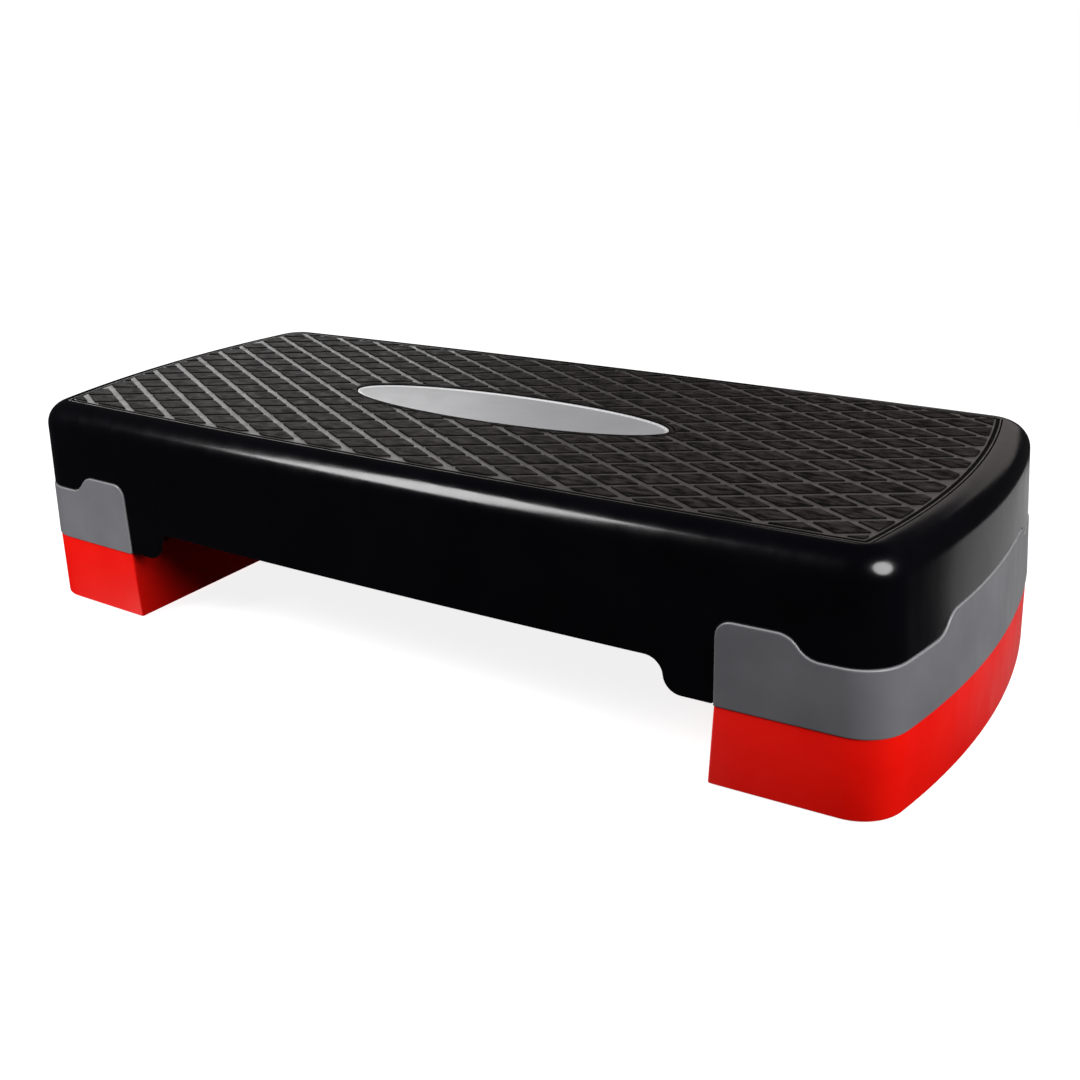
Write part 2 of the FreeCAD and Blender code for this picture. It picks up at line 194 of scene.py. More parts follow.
# Rounding of edges and fineness of meshes
edge_radius = 0.9 * MM
fine_edge = 0.25 * MM
support_width = 0.8 * MM
sunk = 0.2 * MM
round_steps = 4
sharp_angle = math.radians(40)
least_step = 1 * MM
side_cut = 19 * MM
end_cut = 9 * MM
corner_cuts = 20
bend_cuts = 14
clip_steps = 48
side_samples = 600
end_samples = 300
back_steps = 2
cut_tolerance = 1e-7
seam_width = 0.1 * MM
seam_merge = 0.02 * MM
flat_face = 0.98
# Faces steeper than steep_face take the near-black rubber as painted shade
steep_face = 0.9

deck_height = top_level - seat_level
rib_rows = [side * plug_y + half * rib_pitch / 2 for side in (-1, 1) for half in (-1, 1)]


def outline_centres(half_length, half_width, inset, corner):
    """Centre of the round corner and its two tangent points, in the first quadrant."""
    side = np.stack([np.zeros_like(half_width), half_width - side_bow_radius], -1)
    end = np.stack([half_length - end_arc_radius, np.zeros_like(half_length)], -1)
    along = end - side
    apart = np.linalg.norm(along, axis=-1)
    along = along / apart[..., None]
    across = np.stack([along[..., 1], -along[..., 0]], -1)
    side_radius = side_bow_radius - inset
    end_radius = end_arc_radius - inset
    near = (side_radius - corner) ** 2
    far = (end_radius - corner) ** 2
    share = (near - far + apart ** 2) / (2 * apart)
    centre = side + along * share[..., None] + across * np.sqrt(near - share ** 2)[..., None]
    on_side = side + (centre - side) * (side_radius / (side_radius - corner))[..., None]
    on_end = end + (centre - end) * (end_radius / (end_radius - corner))[..., None]
    return centre, on_side, on_end


def reference_lengths():
    """Unrolled lengths of half an end, a corner and half a side at the seat."""
    sizes = [np.array(value) for value in (seat_half_length, seat_half_width, 0.0, corner_radius)]
    centre, on_side, on_end = outline_centres(*sizes)
    turn = math.atan2(*(on_side - centre)[::-1]) - math.atan2(*(on_end - centre)[::-1])
    return float(on_end[1]), corner_radius * turn, float(on_side[0])


end_run, corner_run, side_run = reference_lengths()
half_run = end_run + corner_run + side_run


def outline_point(w, half_length, half_width, inset, corner):
    """Points of the plan line at the right end, by their unrolled distance w from the middle of the end."""
    values = np.broadcast_arrays(w, half_length, half_width, inset, corner)
    w, half_length, half_width, inset, corner = values
    centre, on_side, on_end = outline_centres(half_length, half_width, inset, corner)
    v = np.abs(w)
    beyond = (v - straight_y) / (end_run - straight_y)
    end_y = np.where(v < straight_y, v, straight_y + beyond * (on_end[:, 1] - straight_y))
    across = np.minimum(end_y, half_width)
    end_x = half_length - end_arc_radius + np.sqrt((end_arc_radius - inset) ** 2 - across ** 2)
    first = np.arctan2(on_end[:, 1] - centre[:, 1], on_end[:, 0] - centre[:, 0])
    last = np.arctan2(on_side[:, 1] - centre[:, 1], on_side[:, 0] - centre[:, 0])
    angle = first + (last - first) * (v - end_run) / corner_run
    x_left = half_run - v
    share = (x_left - straight_x) / (side_run - straight_x)
    side_x = np.where(x_left < straight_x, x_left, straight_x + share * (on_side[:, 0] - straight_x))
    side_y = half_width - side_bow_radius + np.sqrt((side_bow_radius - inset) ** 2 - side_x ** 2)
    on_corner = v < end_run + corner_run
    x = np.where(v < end_run, end_x, np.where(on_corner, centre[:, 0] + corner * np.cos(angle), side_x))
    y = np.where(v < end_run, end_y, np.where(on_corner, centre[:, 1] + corner * np.sin(angle), side_y))
    return np.stack([x, y * np.sign(w)], -1)


def deck_size(level):
    """Half length and half width of the deck's plan at a level."""
    rise = (level - seat_level) / deck_height
    return seat_half_length - deck_end_lean * rise, seat_half_width - deck_side_lean * rise


def riser_size(level):
    """Half length and half width of the risers' plan at a level."""
    drop = 1 - level / seat_level
    half_length = seat_half_length + (floor_half_length - seat_half_length) * drop
    return half_length, seat_half_width + riser_side_flare * drop


def deck_skin(w, p, depth):
    """Folds a flat point round the deck: w runs along the plan, p up the wall and over onto the rim."""
    bend_start = top_level - top_edge_radius
    bend_end = bend_start + top_edge_radius * math.pi / 2
    angle = np.clip((p - bend_start) / top_edge_radius, 0, math.pi / 2)
    on_rim = np.clip(p - bend_end, 0, None)
    level = np.minimum(p, bend_start) + (top_edge_radius - depth) * np.sin(angle)
    inset = top_edge_radius - (top_edge_radius - depth) * np.cos(angle) + on_rim
    flat_corner = corner_radius - top_edge_radius
    on_flat = flat_corner + (pocket_corner - flat_corner) * on_rim / (rim_width - top_edge_radius)
    corner = np.where(on_rim > 0, on_flat, corner_radius - inset)
    half_length, half_width = deck_size(level)
    plan = outline_point(w, half_length, half_width, inset, corner)
    return np.column_stack([plan, level])


def deck_wall(w, level, depth):
    """Wraps a flat point on the deck's upright wall."""
    half_length, half_width = deck_size(level)
    plan = outline_point(w, half_length, half_width, depth, corner_radius - depth)
    return np.column_stack([plan, level])


def arc_steps(steps):
    """Angles of a quarter turn."""
    return [math.pi / 2 * step / steps for step in range(steps + 1)]


def wave(start, end, steps=10):
    """Two tangent arcs from one level to another, as points."""
    run = end[0] - start[0]
    drop = start[1] - end[1]
    radius = (run ** 2 + drop ** 2) / (4 * abs(drop))
    turn = 2 * math.atan(abs(drop / run))
    along = math.copysign(radius, run)
    down = math.copysign(radius, drop)
    angles = [turn * step / steps for step in range(steps + 1)]
    first = [(start[0] + along * math.sin(a), start[1] - down * (1 - math.cos(a))) for a in angles]
    second = [(end[0] - along * math.sin(a), end[1] + down * (1 - math.cos(a))) for a in reversed(angles)]
    return first + second[1:]


def rounded(corner, before, after, radius, steps=6):
    """Arc that rounds the corner of a path, as points."""
    corner, before, after = (np.array(point) for point in (corner, before, after))
    back = (before - corner) / np.linalg.norm(before - corner)
    ahead = (after - corner) / np.linalg.norm(after - corner)
    half = math.acos(np.clip(back @ ahead, -1, 1)) / 2
    centre = corner + (back + ahead) / np.linalg.norm(back + ahead) * radius / math.sin(half)
    start = corner + back * radius / math.tan(half) - centre
    end = corner + ahead * radius / math.tan(half) - centre
    turn = math.acos(np.clip(start @ end / radius ** 2, -1, 1))
    points = []
    for step in range(steps + 1):
        share = step / steps
        mixed = (math.sin((1 - share) * turn) * start + math.sin(share * turn) * end) / math.sin(turn)
        points.append(tuple(centre + mixed))
    return points


def offset_loop(loop, distance):
    """Closed loop moved to its left by a distance, with mitred corners."""
    points = np.array(loop)
    before = points - np.roll(points, 1, 0)
    after = np.roll(points, -1, 0) - points
    before /= np.linalg.norm(before, axis=1)[:, None]
    after /= np.linalg.norm(after, axis=1)[:, None]
    left_before = np.column_stack([-before[:, 1], before[:, 0]])
    left_after = np.column_stack([-after[:, 1], after[:, 0]])
    mitre = left_before + left_after
    mitre /= np.sum(mitre * left_before, axis=1)[:, None]
    return points + mitre * np.broadcast_to(distance, len(points))[:, None]


def bridge(bm, rows):
    """Faces between neighbouring closed rows of points."""
    for upper, lower in zip(rows, rows[1:]):
        count = len(upper)
        for i in range(count):
            j = (i + 1) % count
            bm.faces.new((upper[i], lower[i], lower[j], upper[j]))


def loop_edges(bm, row):
    """Edges of a closed row of points."""
    return [bm.edges.get((a, b)) or bm.edges.new((a, b)) for a, b in zip(row, row[1:] + row[:1])]


def cap(bm, edges, upward):
    """Flat face between closed loops of edges."""
    normal = (0, 0, 1 if upward else -1)
    bmesh.ops.triangle_fill(bm, use_beauty=True, use_dissolve=False, edges=edges, normal=normal)


def panel(loops, thickness, front=edge_radius, back=fine_edge, support=support_width):
    """Flat plate with rounded edges, its face at zero and its depth below.

    The outer loop is anticlockwise and holes are clockwise.
    """
    bm = bmesh.new()
    face_edges = []
    back_edges = []
    for loop in loops:
        front_radius = np.broadcast_to(front, len(loop))
        profile = [(front_radius + support, np.zeros(len(loop)))]
        for angle in arc_steps(round_steps):
            profile.append((front_radius * (1 - math.sin(angle)), front_radius * (1 - math.cos(angle))))
        for angle in arc_steps(back_steps):
            depth = np.full(len(loop), thickness - back * (1 - math.sin(angle)))
            profile.append((np.full(len(loop), back * (1 - math.cos(angle))), depth))
        profile.append((np.full(len(loop), back + support), np.full(len(loop), thickness)))
        rows = []
        for inset, depth in profile:
            points = offset_loop(loop, inset)
            rows.append([bm.verts.new((x, y, -d)) for (x, y), d in zip(points, depth)])
        bridge(bm, rows)
        face_edges += loop_edges(bm, rows[0])
        back_edges += loop_edges(bm, rows[-1])
    cap(bm, face_edges, True)
    cap(bm, back_edges, False)
    return bm


def slice_at(bm, axis, places, clear=False):
    """Cuts a mesh across an axis at each place; clear drops what lies beyond the last one."""
    normal = Vector((0, 0, 0))
    normal[axis] = 1
    for place in places:
        whole = bm.verts[:] + bm.edges[:] + bm.faces[:]
        bmesh.ops.bisect_plane(
            bm, geom=whole, dist=cut_tolerance, plane_co=normal * place, plane_no=normal, clear_outer=clear)


def wrap_cuts():
    """Unrolled places where a wrapped panel needs an edge line: close together on the round corners."""
    sides = [half_run - x for x in np.arange(0, side_run, side_cut)]
    corners = [end_run + corner_run * step / corner_cuts for step in range(corner_cuts + 1)]
    ends = list(np.arange(0, end_run, end_cut))
    half = sorted(set(ends + corners + sides))
    return [-w for w in reversed(half[1:])] + half


def reshape(bm, mapping):
    """Moves every point of a flat mesh to its place in space."""
    flat = np.array([vert.co for vert in bm.verts])
    for vert, place in zip(bm.verts, mapping(flat[:, 0], flat[:, 1], -flat[:, 2])):
        vert.co = place


def merged(meshes):
    """One mesh of several, which are used up."""
    whole = bmesh.new()
    for bm in meshes:
        part = bpy.data.meshes.new("part")
        bm.to_mesh(part)
        bm.free()
        whole.from_mesh(part)
        bpy.data.meshes.remove(part)
    return whole


def mirrored(bm):
    """Copy of a mesh for the left end."""
    other = bm.copy()
    bmesh.ops.scale(other, vec=(-1, 1, 1), verts=other.verts)
    bmesh.ops.reverse_faces(other, faces=other.faces)
    return other


def for_side(bm, side):
    """A mesh made for the right end, as it is on a side."""
    if side == "right":
        return bm
    other = mirrored(bm)
    bm.free()
    return other


def upright(bm, origin, along):
    """Stands a flat panel up: its first axis along a direction, its second axis up."""
    across = Vector(along).cross(Vector((0, 0, 1)))
    turn = Matrix((Vector(along), Vector((0, 0, 1)), across)).transposed()
    bmesh.ops.transform(bm, matrix=Matrix.Translation(origin) @ turn.to_4x4(), verts=bm.verts)
    return bm


def lathe(profile, centre, steps=40):
    """Closed turned shape from (radius, level) points that start and end on the axis."""
    bm = bmesh.new()
    rows = []
    for radius, level in profile[1:-1]:
        rows.append([bm.verts.new((x, y, level)) for x, y in circle(centre, radius, steps)])
    bridge(bm, rows)
    for row, level in ((rows[0], profile[0][1]), (rows[-1], profile[-1][1])):
        tip = bm.verts.new((*centre, level))
        for i in range(steps):
            bm.faces.new((row[i], row[(i + 1) % steps], tip))
    bmesh.ops.recalc_face_normals(bm, faces=bm.faces)
    return bm


def node_centre(node):
    """Middle of a solid's box in plan."""
    low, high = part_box(node)
    return (low.x + high.x) / 2, (low.y + high.y) / 2


def ellipse(centre, half_length, half_width, steps):
    """Ellipse as an anticlockwise loop."""
    points = []
    for step in range(steps):
        angle = 2 * math.pi * step / steps
        points.append((centre[0] + half_length * math.cos(angle), centre[1] + half_width * math.sin(angle)))
    return points


def circle(centre, radius, steps=32):
    """Anticlockwise circle."""
    return ellipse(centre, radius, radius, steps)


def oval(grow, steps=160):
    """Outline of the badge, grown by a distance."""
    return ellipse((0, 0), badge_half_length + grow, badge_half_width + grow, steps)


def top_outline(inset, corner):
    """Whole plan line of the deck's top, set in by a distance."""
    half_length, half_width = deck_size(top_level)
    places = np.array([w for w in wrap_cuts() if abs(w) < half_run - least_step])
    right = outline_point(places, half_length, half_width, inset, corner)
    left = right[::-1] * (-1, 1)
    return [tuple(point) for point in np.concatenate([right, left])]


def piece(name, bm, body, node, materials):
    """Object made from a mesh, which rides on a body and stands for a solid."""
    bmesh.ops.recalc_face_normals(bm, faces=bm.faces)
    mesh = bpy.data.meshes.new(name)
    bm.to_mesh(mesh)
    bm.free()
    mesh.shade_smooth()
    mesh.set_sharp_from_angle(angle=sharp_angle)
    made = bpy.data.objects.new(name, mesh)
    bpy.context.scene.collection.objects.link(made)
    for material in materials:
        mesh.materials.append(material)
    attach(made, body)
    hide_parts(node)


def collar_edge(grow):
    """Wavy top edge of the collar, from the front inner corner to the middle of the end, unrolled."""
    left = inner_x - grow
    tab = collar_tab_level + grow
    dip = collar_dip_level + grow
    wave_end = collar_wave_x + collar_wave_run
    end_foot = collar_end_tab + collar_wave_run
    corner = rounded((left, tab), (left, seat_level), (collar_wave_x, tab), collar_tab_corner + grow)
    side = corner + wave((collar_wave_x, tab), (wave_end, dip))
    end = wave((-end_foot, dip), (-collar_end_tab, collar_end_level + grow))
    return [(x - half_run, z) for x, z in side] + end


def both_halves(front):
    """Path from front to back, from its front half."""
    return front + [(-w, z) for w, z in reversed(front)]


def deck_edge():
    """Lower edge of the deck's wall: the arch, a lobe and the collar's wavy edge."""
    left = inner_x - collar_gap
    beyond = -5 * MM
    arch = [(beyond, arch_level)] + wave((arch_crest_x, arch_level), (arch_foot_x, lobe_level))
    lobe = rounded((left, lobe_level), (arch_foot_x, lobe_level), (left, arch_level), lobe_corner)
    return [(x - half_run, z) for x, z in arch + lobe] + collar_edge(collar_gap)


def deck_walls():
    """Right half of the deck: its outer wall up to the rim, and the recessed wall behind the collar."""
    bend_end = top_level - top_edge_radius + top_edge_radius * math.pi / 2
    rim_place = bend_end + rim_width - top_edge_radius
    lower = both_halves(deck_edge())
    loop = lower + [(lower[-1][0], rim_place), (lower[0][0], rim_place)]
    skin = panel([loop], wall)
    bends = [top_level - top_edge_radius * (1 - angle) for angle in arc_steps(bend_cuts)]
    slice_at(skin, 1, bends)
    slice_at(skin, 0, wrap_cuts()[1:-1])
    for _ in range(2):
        slice_at(skin, 0, [half_run], clear=True)
        bmesh.ops.scale(skin, vec=(-1, 1, 1), verts=skin.verts)
    reshape(skin, deck_skin)
    recess = collar_thickness + collar_gap
    behind = collar_edge(collar_gap + wall)
    start = behind[0][0]
    path = both_halves([(start, seat_level)] + behind)[::-1]
    backing = panel([path], wall, fine_edge)
    slice_at(backing, 0, [w for w in wrap_cuts() if abs(w) < -start])
    reshape(backing, lambda w, level, depth: deck_wall(w, level, depth + recess))
    return skin, backing


def half_width_at(x, sizes, inset):
    """Half width of the plan at a place along its length."""
    plan = outline_point(np.linspace(0, half_run, side_samples), *sizes, inset, corner_radius - inset)
    return float(np.interp(abs(x), plan[::-1, 0], plan[::-1, 1]))


def half_length_at(y, sizes, inset):
    """Half length of the plan at a place across its width."""
    plan = outline_point(np.linspace(0, end_run, end_samples), *sizes, inset, corner_radius - inset)
    return float(np.interp(abs(y), plan[:, 1], plan[:, 0]))


def wall_inset(level):
    """Middle of the deck's wall, as a distance in from the plan, up to the round top edge."""
    bend = max(level - (top_level - top_edge_radius), 0)
    middle = top_edge_radius - wall / 2
    return top_edge_radius - math.sqrt(middle ** 2 - bend ** 2)


def rib_plate(path, place, along):
    """Upright rib from the right half of its outline, as distances from the middle and levels."""
    loop = path + [(-distance, level) for distance, level in reversed(path)]
    rib = panel([loop], rib_thickness, fine_edge)
    across = Vector(along).cross(Vector((0, 0, 1)))
    return upright(rib, Vector(place) + across * rib_thickness / 2, along)


def deck_ribs():
    """Ribs below the plate: shallow under the arch, down to the seat over the risers."""
    bulkhead = plug_x - rib_pitch / 2
    gaps = round(2 * bulkhead / rib_pitch)
    row = [-bulkhead + 2 * bulkhead * place / gaps for place in range(gaps + 1)]
    levels = [top_level - top_edge_radius, mat_floor - plate_thickness + rib_overlap]
    recess = collar_thickness + collar_gap
    ribs = []
    for x in [-plug_x - rib_pitch / 2] + row + [plug_x + rib_pitch / 2]:
        deep = abs(x) > bulkhead - rib_thickness
        step_in = recess if deep else 0
        path = []
        for level in [seat_level if deep else mid_rib_level] + levels:
            path.append((half_width_at(x, deck_size(level), wall_inset(level) + step_in), level))
        ribs.append(rib_plate(path, (x, 0, 0), (0, 1, 0)))
    for y in rib_rows:
        path = [(bulkhead, mid_rib_level), (bulkhead, seat_level)]
        for level in [seat_level] + levels:
            path.append((half_length_at(y, deck_size(level), wall_inset(level) + recess), level))
        ribs.append(rib_plate(path, (0, y, 0), (1, 0, 0)))
    return ribs


def deck_plate():
    """Flat plate under the mat."""
    outline = top_outline(plate_inset, corner_radius - plate_inset)
    plate = panel([outline], plate_thickness, fine_edge)
    bmesh.ops.translate(plate, vec=(0, 0, mat_floor), verts=plate.verts)
    return plate


def deck_bosses():
    """Round bosses over the deck's rubber feet, from the feet up to the plate's ribs."""
    bosses = []
    for node in frame["nodes"]:
        if node.startswith("deck_foot"):
            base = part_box(node)[0].z + foot_thickness
            top = base + foot_boss_height
            profile = [(0, base), (foot_boss_radius, base), (foot_boss_top_radius, top), (0, top)]
            bosses.append(lathe(profile, node_centre(node)))
    return bosses


def deck_moulding(material):
    """Deck with its walls, plate, ribs and bosses; the two halves meet in a seam that is closed."""
    skin, backing = deck_walls()
    shell = merged([mirrored(skin), skin])
    seam = [vert for vert in shell.verts if abs(vert.co.x) < seam_width]
    bmesh.ops.remove_doubles(shell, verts=seam, dist=seam_merge)
    whole = merged([shell, mirrored(backing), backing, deck_plate()] + deck_ribs() + deck_bosses())
    piece("deck_moulding", whole, "deck", "deck_shell", [material])


def collar_band(side, materials):
    """Collar, a little proud of the wall, whose rounded top edge has a lighter plastic as a painted
    highlight.
    """
    edge = collar_edge(0)
    start = edge[0][0]
    foot = rounded((start, collar_base), (0, collar_base), (start, collar_tab_level), collar_foot_corner)
    path = both_halves(foot + edge)[::-1]
    foot_top = collar_base + collar_foot_height
    radii = [fine_edge if level < foot_top else collar_edge_radius for _, level in path]
    band = panel([path], collar_thickness + collar_proud, np.array(radii))
    band.normal_update()
    for face in band.faces:
        middle = face.calc_center_median()
        # Faces on the rounded top edge, above the plain foot, take the lighter plastic: a painted highlight
        highlight_edge = middle.z > -collar_edge_radius and face.normal.z < flat_face
        face.material_index = 1 if highlight_edge and middle.y > collar_base + collar_plain_height else 0
    slice_at(band, 0, [w for w in wrap_cuts() if abs(w) < -start])
    reshape(band, lambda w, level, depth: deck_wall(w, level, depth - collar_proud))
    band = for_side(band, side)
    piece(f"{side}_collar_band", band, "deck", f"{side}_end_collar", materials)


def riser_loop(level, inset):
    """Plan line of the right riser: round the end and straight across its inner face."""
    half_length, half_width = riser_size(level)
    lean = (riser_foot_x - inner_x) * (seat_level - level) / (seat_level - riser_bottom)
    face = inner_x + lean + inset
    reach = half_run - face - riser_corner
    places = np.array([-reach] + [w for w in wrap_cuts() if abs(w) < reach - least_step] + [reach])
    outer = outline_point(places, half_length, half_width, inset, corner_radius - inset)
    y = outer[-1][1]
    outward = face + 10 * MM
    back = rounded((face, y), (outward, y), (face, 0), riser_corner)
    front = [(x, -value) for x, value in reversed(back)]
    return [tuple(point) for point in outer] + back[1:] + front[:-1]


def riser_shell():
    """Hollow right riser: one skin down the inside, up the outside and over the plate with its holes."""
    rows = [(seat_level - riser_plate, riser_wall)]
    for angle in arc_steps(back_steps):
        level = riser_bottom + riser_inner_edge * (1 - math.sin(angle))
        rows.append((level, riser_wall - riser_inner_edge * (1 - math.cos(angle))))
    for angle in arc_steps(round_steps):
        level = riser_bottom + edge_radius * (1 - math.cos(angle))
        rows.append((level, edge_radius * (1 - math.sin(angle))))
    for angle in arc_steps(round_steps):
        level = seat_level - riser_top_edge * (1 - math.sin(angle))
        rows.append((level, riser_top_edge * (1 - math.cos(angle))))
    rows.append((seat_level, riser_top_edge + support_width))
    bm = bmesh.new()
    rings = []
    for level, inset in rows:
        rings.append([bm.verts.new((x, y, level)) for x, y in riser_loop(level, inset)])
    bridge(bm, rings)
    top_edges = loop_edges(bm, rings[-1])
    under_edges = loop_edges(bm, rings[0])
    for node in ("deck_foot_right_front", "deck_foot_right_back"):
        hole = circle(node_centre(node), deck_foot_room)
        pair = []
        for level in (seat_level, seat_level - riser_plate):
            pair.append([bm.verts.new((x, y, level)) for x, y in hole])
        bridge(bm, pair)
        top_edges += loop_edges(bm, pair[0])
        under_edges += loop_edges(bm, pair[1])
    cap(bm, top_edges, True)
    cap(bm, under_edges, False)
    return bm


def riser_plug(y):
    """Square plug with a chamfered top and rounded corners."""
    def ring(half):
        points = []
        for sx, sy in ((1, 1), (-1, 1), (-1, -1), (1, -1)):
            corner = (sx * half, sy * half)
            before, after = (sx * half, 0), (0, sy * half)
            if sx * sy < 0:
                before, after = after, before
            points += rounded(corner, before, after, plug_corner)
        return [(plug_x + px, y + py) for px, py in points]
    bm = bmesh.new()
    shoulder = plug_top - plug_chamfer
    top_half = plug_half - plug_chamfer
    below, above, edge = 0.4 * MM, 0.2 * MM, 0.3 * MM
    rows = []
    for level, half in (
        (seat_level - plug_sunk, plug_half),
        (shoulder - below, plug_half),
        (shoulder + above, plug_half - above),
        (plug_top - edge, top_half + edge),
        (plug_top, top_half - edge),
    ):
        rows.append([bm.verts.new((px, py, level)) for px, py in ring(half)])
    bridge(bm, rows)
    bm.faces.new(rows[0])
    bm.faces.new(rows[-1])
    return bm


def riser_ribs():
    """Ribs and foot bosses inside the hollow of the right riser."""
    bottom = riser_rib_bottom
    top = seat_level - riser_plate / 2
    sizes = riser_size(top)
    ribs = []
    for x in (plug_x - rib_pitch / 2, plug_x + rib_pitch / 2):
        reach = half_width_at(x, sizes, riser_wall / 2)
        ribs.append(rib_plate([(reach, bottom), (reach, top)], (x, 0, 0), (0, 1, 0)))
    start = inner_x + riser_wall / 2
    for y in rib_rows:
        reach = half_length_at(y, sizes, riser_wall / 2)
        loop = [(start, bottom), (reach, bottom), (reach, top), (start, top)]
        rib = panel([loop], rib_thickness, fine_edge)
        ribs.append(upright(rib, (0, y - rib_thickness / 2, 0), (1, 0, 0)))
    for node in frame["nodes"]:
        if node.startswith("right_riser_foot"):
            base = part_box(node)[0].z + foot_thickness
            profile = [(0, base), (foot_boss_radius, base), (foot_boss_radius, top), (0, top)]
            ribs.append(lathe(profile, node_centre(node)))
    return ribs


def riser_moulding(side, material):
    """Riser with its plugs, ribs and foot bosses."""
    whole = merged([riser_shell(), riser_plug(-plug_y), riser_plug(plug_y)] + riser_ribs())
    whole = for_side(whole, side)
    node = f"{side}_riser_block"
    piece(f"{side}_riser_moulding", whole, f"{side}_riser", node, [material])


def rhombus(column, row):
    """Tips of a tread pad, anticlockwise."""
    x = net_shift[0] + column * groove_pitch / math.sin(groove_slope) / 2
    y = net_shift[1] + row * groove_pitch / math.cos(groove_slope) / 2
    width = groove_pitch - groove_width
    long = width / math.sin(groove_slope) / 2
    short = width / math.cos(groove_slope) / 2
    return [(x + long, y), (x, y + short), (x - long, y), (x, y - short)]


def inside(points, polygon):
    """Which points lie in a convex polygon given anticlockwise."""
    points = np.atleast_2d(points)
    kept = np.ones(len(points), bool)
    for a, b in zip(polygon, polygon[1:] + polygon[:1]):
        kept &= (b[0] - a[0]) * (points[:, 1] - a[1]) - (b[1] - a[1]) * (points[:, 0] - a[0]) > 0
    return kept


def clipped(polygon, border, outside):
    """Part of a convex polygon inside, or outside, a closed convex border: one loop, or none."""
    fine = []
    for a, b in zip(polygon, polygon[1:] + polygon[:1]):
        for share in np.arange(0, 1, 1 / clip_steps):
            fine.append((a[0] + (b[0] - a[0]) * share, a[1] + (b[1] - a[1]) * share))
    kept = inside(fine, border) != outside
    if kept.all():
        return polygon
    if not kept.any():
        return None
    start = next(i for i in range(len(fine)) if kept[i] and not kept[i - 1])
    run = []
    while kept[(start + len(run)) % len(fine)] and len(run) < len(fine):
        run.append(fine[(start + len(run)) % len(fine)])
    within = [point for point, is_in in zip(border, inside(border, polygon)) if is_in]
    within.sort(key=lambda point: math.dist(point, run[-1]) - math.dist(point, run[0]))
    corners = {tuple(np.round(tip, 9)) for tip in polygon}
    slim = [run[0]] + [p for p in run[1:-1] if tuple(np.round(p, 9)) in corners] + [run[-1]]
    return slim + within[::2]


def loop_area(loop):
    """Area inside a closed loop."""
    points = np.array(loop)
    after = np.roll(points, -1, 0)
    return abs(np.sum(points[:, 0] * after[:, 1] - points[:, 1] * after[:, 0])) / 2


def tread_pads():
    """Raised pads, cut off along the flat border and under the ring round the badge."""
    border = top_outline(rim_width + mat_gap + mat_border, mat_corner)
    ring = oval(badge_gap + badge_border / 2)
    columns = math.ceil(seat_half_length / (groove_pitch / math.sin(groove_slope) / 2))
    rows = math.ceil(seat_half_width / (groove_pitch / math.cos(groove_slope) / 2))
    pads = []
    for column in range(-columns, columns + 1):
        for row in range(-rows, rows + 1):
            if (column + row) % 2 == 0:
                continue
            loop = clipped(rhombus(column, row), border, False)
            loop = loop and clipped(loop, ring, True)
            if loop and loop_area(loop) > smallest_pad:
                pads.append(rubber_slab([loop], pad_level, top_level - sunk, 0))
    return pads


def rubber_slab(loops, level, bottom, top_material, edge_support=support_width):
    """Level slab whose steep faces have the third material, a near-black rubber that paints shade on its
    walls.
    """
    bm = panel(loops, level - bottom, pad_edge, 0, edge_support)
    bmesh.ops.translate(bm, vec=(0, 0, level), verts=bm.verts)
    bm.normal_update()
    for face in bm.faces:
        # Steep walls take the near-black rubber as painted shade; the other faces take the given material
        face.material_index = 2 if abs(face.normal.z) < steep_face else top_material
    return bm


def tread(materials):
    """Mat with a thin lip and a channel along its edge whose floor carries painted shade, raised pads and a
    ring round the badge.
    """
    edge = rim_width + mat_gap
    insets = (edge, edge + mat_lip, edge + mat_lip + channel_width)
    lip_line, channel_line, floor_line = (top_outline(inset, mat_corner) for inset in insets)
    hole = oval(badge_gap)[::-1]
    lip = rubber_slab([lip_line, channel_line[::-1]], top_level, mat_floor, 1, fine_edge)
    channel_floor = top_level - channel_depth
    # The channel floor takes the near-black rubber: painted shade for the dark line along the mat's edge
    channel = rubber_slab([channel_line, floor_line[::-1]], channel_floor, mat_floor, 2, fine_edge)
    floor = rubber_slab([floor_line, hole], top_level, mat_floor, 1)
    ring = rubber_slab([oval(badge_gap + badge_border), hole], pad_level, top_level - sunk, 0)
    whole = merged([lip, channel, floor, ring] + tread_pads())
    piece("tread", whole, "deck", "tread_mat", materials)


def badge_plate(materials):
    """Oval plate with a thin raised rim round its edge, in a lighter plastic that paints a highlight on it.
    """
    field = badge_top - badge_rim_height
    profile = [(0, mat_floor)]
    for angle in arc_steps(round_steps):
        outer = badge_edge * (1 - math.cos(angle))
        profile.append((outer, badge_top - badge_edge * (1 - math.sin(angle))))
    for angle in arc_steps(round_steps):
        inner = badge_rim_width - badge_edge * (1 - math.sin(angle))
        profile.append((inner, badge_top - badge_edge * (1 - math.cos(angle))))
    profile.append((badge_rim_width + badge_rim_slope, field))
    profile.append((badge_rim_width + badge_field_inset, field))
    bm = bmesh.new()
    rows = [[bm.verts.new((x, y, level)) for x, y in oval(-inset)] for inset, level in profile]
    bridge(bm, rows)
    # The rim's faces take the lighter plastic, a painted highlight; the caps keep the badge plastic
    for face in bm.faces:
        face.material_index = 1
    cap(bm, loop_edges(bm, rows[0]), False)
    cap(bm, loop_edges(bm, rows[-1]), True)
    piece("badge_plate", bm, "deck", "centre_badge", materials)


